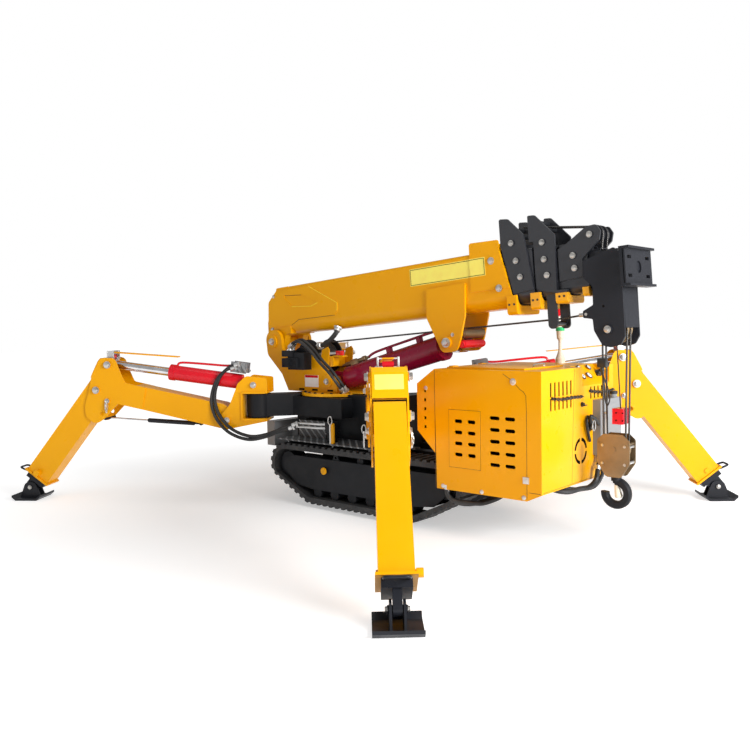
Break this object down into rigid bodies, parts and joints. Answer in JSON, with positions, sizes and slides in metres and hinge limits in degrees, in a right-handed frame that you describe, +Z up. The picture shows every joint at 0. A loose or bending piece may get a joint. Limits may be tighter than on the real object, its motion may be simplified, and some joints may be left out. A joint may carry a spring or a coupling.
{
  "type": "spider crane",
  "caption": "Tracked mini spider crane with a telescopic boom on a slewing pillar, folding outriggers, engine cabinet and hook block.",
  "frame": {"origin": "on the ground under the middle of the four outrigger swing pivots", "axes": "+X to the engine cabinet and boom head, +Y to the machine's left, +Z up"},
  "size_m": [3.9317, 3.4216, 1.6992],
  "materials": {
    "black_paint": "gloss dark paint",
    "yellow_paint": "gloss yellow paint",
    "track_rubber": "moulded rubber",
    "grey_paint": "satin grey paint",
    "lamp": "moulded lamp",
    "bright_steel": "plated steel",
    "wire_rope": "oiled wire rope",
    "forged_black": "black painted forging",
    "signal_red": "gloss red paint",
    "crimson_paint": "gloss crimson paint",
    "chrome": "hard chrome"
  },
  "bodies": {
    "chassis": {"beacon": "lamp", "cabinet_end": "yellow_paint", "cabinet_floor": "yellow_paint", "cabinet_rear": "yellow_paint", "cabinet_sides": "yellow_paint", "cabinet_top": "yellow_paint", "chassis_frame": "black_paint", "control_console": "yellow_paint", "deck_plates": "black_paint", "engine_block": "grey_paint", "hydraulic_tank": "grey_paint", "outrigger_beams": "black_paint", "rear_guard": "grey_paint", "slew_ring": "black_paint", "track_belt_left": "track_rubber", "track_belt_right": "track_rubber", "track_frame_left": "black_paint", "track_frame_right": "black_paint"},
    "turret": {"pillar": "yellow_paint", "turret_pins": "bright_steel", "winch_motor": "black_paint"},
    "winch_drum": {"winch_drum": "bright_steel"},
    "boom_base": {"boom_base": "yellow_paint"},
    "boom_second": {"boom_second": "black_paint"},
    "boom_third": {"boom_third": "black_paint"},
    "boom_fourth": {"boom_fourth": "black_paint"},
    "boom_head": {"boom_head": "black_paint", "head_sheaves": "bright_steel"},
    "luff_barrel": {"luff_barrel": "crimson_paint"},
    "luff_rod": {"luff_rod": "chrome"},
    "hoist_falls": {"hoist_falls": "wire_rope", "limit_weight": "signal_red"},
    "hook_block": {"hook_block": "bright_steel"},
    "hook": {"hook": "forged_black"},
    "bracket_front_right": {"bracket_front_right": "yellow_paint"},
    "arm_front_right": {"arm_front_right": "yellow_paint"},
    "lower_leg_front_right": {"lower_leg_front_right": "yellow_paint"},
    "foot_front_right": {"foot_front_right": "black_paint"},
    "lift_barrel_front_right": {"lift_barrel_front_right": "signal_red"},
    "lift_rod_front_right": {"lift_rod_front_right": "chrome"},
    "bracket_front_left": {"bracket_front_left": "yellow_paint"},
    "arm_front_left": {"arm_front_left": "yellow_paint"},
    "lower_leg_front_left": {"lower_leg_front_left": "yellow_paint"},
    "foot_front_left": {"foot_front_left": "black_paint"},
    "lift_barrel_front_left": {"lift_barrel_front_left": "signal_red"},
    "lift_rod_front_left": {"lift_rod_front_left": "chrome"},
    "bracket_rear_left": {"bracket_rear_left": "yellow_paint"},
    "arm_rear_left": {"arm_rear_left": "yellow_paint"},
    "lower_leg_rear_left": {"lower_leg_rear_left": "yellow_paint"},
    "foot_rear_left": {"foot_rear_left": "black_paint"},
    "lift_barrel_rear_left": {"lift_barrel_rear_left": "signal_red"},
    "lift_rod_rear_left": {"lift_rod_rear_left": "chrome"},
    "bracket_rear_right": {"bracket_rear_right": "yellow_paint"},
    "arm_rear_right": {"arm_rear_right": "yellow_paint"},
    "lower_leg_rear_right": {"lower_leg_rear_right": "yellow_paint"},
    "foot_rear_right": {"foot_rear_right": "black_paint"},
    "lift_barrel_rear_right": {"lift_barrel_rear_right": "signal_red"},
    "lift_rod_rear_right": {"lift_rod_rear_right": "chrome"}
  },
  "joints": [
    {"name": "slew", "type": "hinge", "parent": "chassis", "child": "turret", "pos_m": [-0.17, 0, 0.69], "axis": [0, 0, 1], "continuous": true},
    {"name": "luff", "type": "hinge", "parent": "turret", "child": "boom_base", "pos_m": [-0.667, 0, 1.04], "axis": [0, -1, 0], "range_deg": [-4, 71]},
    {"name": "telescope", "type": "slide", "parent": "boom_base", "child": "boom_second", "axis": [0.9974, 0, 0.0715], "range_m": [0, 1.4]},
    {"name": "telescope_third", "type": "slide", "parent": "boom_second", "child": "boom_third", "axis": [0.9974, 0, 0.0715], "range_m": [0, 1.4]},
    {"name": "telescope_fourth", "type": "slide", "parent": "boom_third", "child": "boom_fourth", "axis": [0.9974, 0, 0.0715], "range_m": [0, 1.4]},
    {"name": "telescope_head", "type": "slide", "parent": "boom_fourth", "child": "boom_head", "axis": [0.9974, 0, 0.0715], "range_m": [0, 1.4]},
    {"name": "luff_barrel_pivot", "type": "hinge", "parent": "turret", "child": "luff_barrel", "pos_m": [-0.144, 0, 0.781], "axis": [0, -1, 0], "range_deg": [-4.36, 76.47]},
    {"name": "luff_rod_slide", "type": "slide", "parent": "luff_barrel", "child": "luff_rod", "axis": [0.9666, 0, 0.2563], "range_m": [-0.03808, 0.6675]},
    {"name": "hoist_hang", "type": "hinge", "parent": "boom_head", "child": "hoist_falls", "pos_m": [1.76807, 0, 1.09825], "axis": [0, -1, 0], "range_deg": [-71.1, 4.1]},
    {"name": "hoist", "type": "slide", "parent": "hoist_falls", "child": "hook_block", "axis": [0, 0, -1], "range_m": [-0.04, 0.16], "deforming": ["hoist_falls"]},
    {"name": "drum_turn", "type": "hinge", "parent": "turret", "child": "winch_drum", "pos_m": [-0.35, 0, 0.94], "axis": [0, 1, 0], "range_deg": [-110, 420]},
    {"name": "hook_swivel", "type": "hinge", "parent": "hook_block", "child": "hook", "pos_m": [1.76807, 0, 0.39], "axis": [0, 0, 1], "continuous": true},
    {"name": "swing_front_right", "type": "hinge", "parent": "chassis", "child": "bracket_front_right", "pos_m": [0.546, -0.386, 0.63], "axis": [0, 0, -1], "range_deg": [-22.6, 32.4]},
    {"name": "lift_front_right", "type": "hinge", "parent": "bracket_front_right", "child": "arm_front_right", "pos_m": [0.67547, -0.52778, 0.539], "axis": [-0.7385, -0.6743, 0], "range_deg": [-5, 60]},
    {"name": "fold_front_right", "type": "hinge", "parent": "arm_front_right", "child": "lower_leg_front_right", "pos_m": [1.27492, -1.18427, 0.745], "axis": [0.7385, 0.6743, 0], "range_deg": [0, 70]},
    {"name": "foot_tilt_front_right", "type": "hinge", "parent": "lower_leg_front_right", "child": "foot_front_right", "pos_m": [1.62826, -1.57122, 0.08], "axis": [-0.7385, -0.6743, 0], "range_deg": [-15, 15]},
    {"name": "lift_barrel_pivot_front_right", "type": "hinge", "parent": "bracket_front_right", "child": "lift_barrel_front_right", "pos_m": [0.55207, -0.39265, 0.768], "axis": [-0.7385, -0.6743, 0], "range_deg": [-5.04, 59.91]},
    {"name": "lift_rod_slide_front_right", "type": "slide", "parent": "lift_barrel_front_right", "child": "lift_rod_front_right", "axis": [0.6672, -0.7307, 0.1444], "range_m": [-0.29363, 0.02493]},
    {"name": "swing_front_left", "type": "hinge", "parent": "chassis", "child": "bracket_front_left", "pos_m": [0.546, 0.386, 0.63], "axis": [0, 0, 1], "range_deg": [-13.5, 41.5]},
    {"name": "lift_front_left", "type": "hinge", "parent": "bracket_front_left", "child": "arm_front_left", "pos_m": [0.69626, 0.50552, 0.539], "axis": [0.6225, -0.7826, 0], "range_deg": [-5, 60]},
    {"name": "fold_front_left", "type": "hinge", "parent": "arm_front_left", "child": "lower_leg_front_left", "pos_m": [1.392, 1.05894, 0.745], "axis": [-0.6225, 0.7826, 0], "range_deg": [0, 70]},
    {"name": "foot_tilt_front_left", "type": "hinge", "parent": "lower_leg_front_left", "child": "foot_front_left", "pos_m": [1.80209, 1.38514, 0.08], "axis": [0.6225, -0.7826, 0], "range_deg": [-15, 15]},
    {"name": "lift_barrel_pivot_front_left", "type": "hinge", "parent": "bracket_front_left", "child": "lift_barrel_front_left", "pos_m": [0.55304, 0.3916, 0.768], "axis": [0.6225, -0.7826, 0], "range_deg": [-5.04, 59.91]},
    {"name": "lift_rod_slide_front_left", "type": "slide", "parent": "lift_barrel_front_left", "child": "lift_rod_front_left", "axis": [0.7744, 0.616, 0.1444], "range_m": [-0.29363, 0.02493]},
    {"name": "swing_rear_left", "type": "hinge", "parent": "chassis", "child": "bracket_rear_left", "pos_m": [-0.546, 0.386, 0.63], "axis": [0, 0, -1], "range_deg": [-42.6, 32.4]},
    {"name": "lift_rear_left", "type": "hinge", "parent": "bracket_rear_left", "child": "arm_rear_left", "pos_m": [-0.67547, 0.52778, 0.539], "axis": [0.7385, 0.6743, 0], "range_deg": [-5, 60]},
    {"name": "fold_rear_left", "type": "hinge", "parent": "arm_rear_left", "child": "lower_leg_rear_left", "pos_m": [-1.27492, 1.18427, 0.745], "axis": [-0.7385, -0.6743, 0], "range_deg": [0, 70]},
    {"name": "foot_tilt_rear_left", "type": "hinge", "parent": "lower_leg_rear_left", "child": "foot_rear_left", "pos_m": [-1.62826, 1.57122, 0.08], "axis": [0.7385, 0.6743, 0], "range_deg": [-15, 15]},
    {"name": "lift_barrel_pivot_rear_left", "type": "hinge", "parent": "bracket_rear_left", "child": "lift_barrel_rear_left", "pos_m": [-0.55207, 0.39265, 0.768], "axis": [0.7385, 0.6743, 0], "range_deg": [-5.04, 59.91]},
    {"name": "lift_rod_slide_rear_left", "type": "slide", "parent": "lift_barrel_rear_left", "child": "lift_rod_rear_left", "axis": [-0.6672, 0.7307, 0.1444], "range_m": [-0.29363, 0.02493]},
    {"name": "swing_rear_right", "type": "hinge", "parent": "chassis", "child": "bracket_rear_right", "pos_m": [-0.546, -0.386, 0.63], "axis": [0, 0, 1], "range_deg": [-30.5, 44.5]},
    {"name": "lift_rear_right", "type": "hinge", "parent": "bracket_rear_right", "child": "arm_rear_right", "pos_m": [-0.70231, -0.4975, 0.539], "axis": [-0.5807, 0.8141, 0], "range_deg": [-5, 60]},
    {"name": "fold_rear_right", "type": "hinge", "parent": "arm_rear_right", "child": "lower_leg_rear_right", "pos_m": [-1.42606, -1.01374, 0.745], "axis": [0.5807, -0.8141, 0], "range_deg": [0, 70]},
    {"name": "foot_tilt_rear_right", "type": "hinge", "parent": "lower_leg_rear_right", "child": "foot_rear_right", "pos_m": [-1.85265, -1.31803, 0.08], "axis": [-0.5807, 0.8141, 0], "range_deg": [-15, 15]},
    {"name": "lift_barrel_pivot_rear_right", "type": "hinge", "parent": "bracket_rear_right", "child": "lift_barrel_rear_right", "pos_m": [-0.55333, -0.39123, 0.768], "axis": [-0.5807, 0.8141, 0], "range_deg": [-5.04, 59.91]},
    {"name": "lift_rod_slide_rear_right", "type": "slide", "parent": "lift_barrel_rear_right", "child": "lift_rod_rear_right", "axis": [-0.8056, -0.5746, 0.1444], "range_m": [-0.29363, 0.02493]}
  ],
  "couplings": [
    {"joint": "telescope_third", "follows": "telescope", "ratio": 1},
    {"joint": "telescope_fourth", "follows": "telescope", "ratio": 1},
    {"joint": "telescope_head", "follows": "telescope", "ratio": 1},
    {"joint": "luff_barrel_pivot", "follows": "luff", "ratio": 1.0763},
    {"joint": "luff_rod_slide", "follows": "luff", "m_per_rad": 0.53826},
    {"joint": "hoist_hang", "follows": "luff", "ratio": -1},
    {"joint": "drum_turn", "follows": "hoist", "rad_per_m": 45},
    {"joint": "lift_barrel_pivot_front_right", "follows": "lift_front_right", "ratio": 0.99772},
    {"joint": "lift_rod_slide_front_right", "follows": "lift_front_right", "m_per_rad": -0.27992},
    {"joint": "lift_barrel_pivot_front_left", "follows": "lift_front_left", "ratio": 0.99772},
    {"joint": "lift_rod_slide_front_left", "follows": "lift_front_left", "m_per_rad": -0.27992},
    {"joint": "lift_barrel_pivot_rear_left", "follows": "lift_rear_left", "ratio": 0.99772},
    {"joint": "lift_rod_slide_rear_left", "follows": "lift_rear_left", "m_per_rad": -0.27992},
    {"joint": "lift_barrel_pivot_rear_right", "follows": "lift_rear_right", "ratio": 0.99772},
    {"joint": "lift_rod_slide_rear_right", "follows": "lift_rear_right", "m_per_rad": -0.27992}
  ]
}
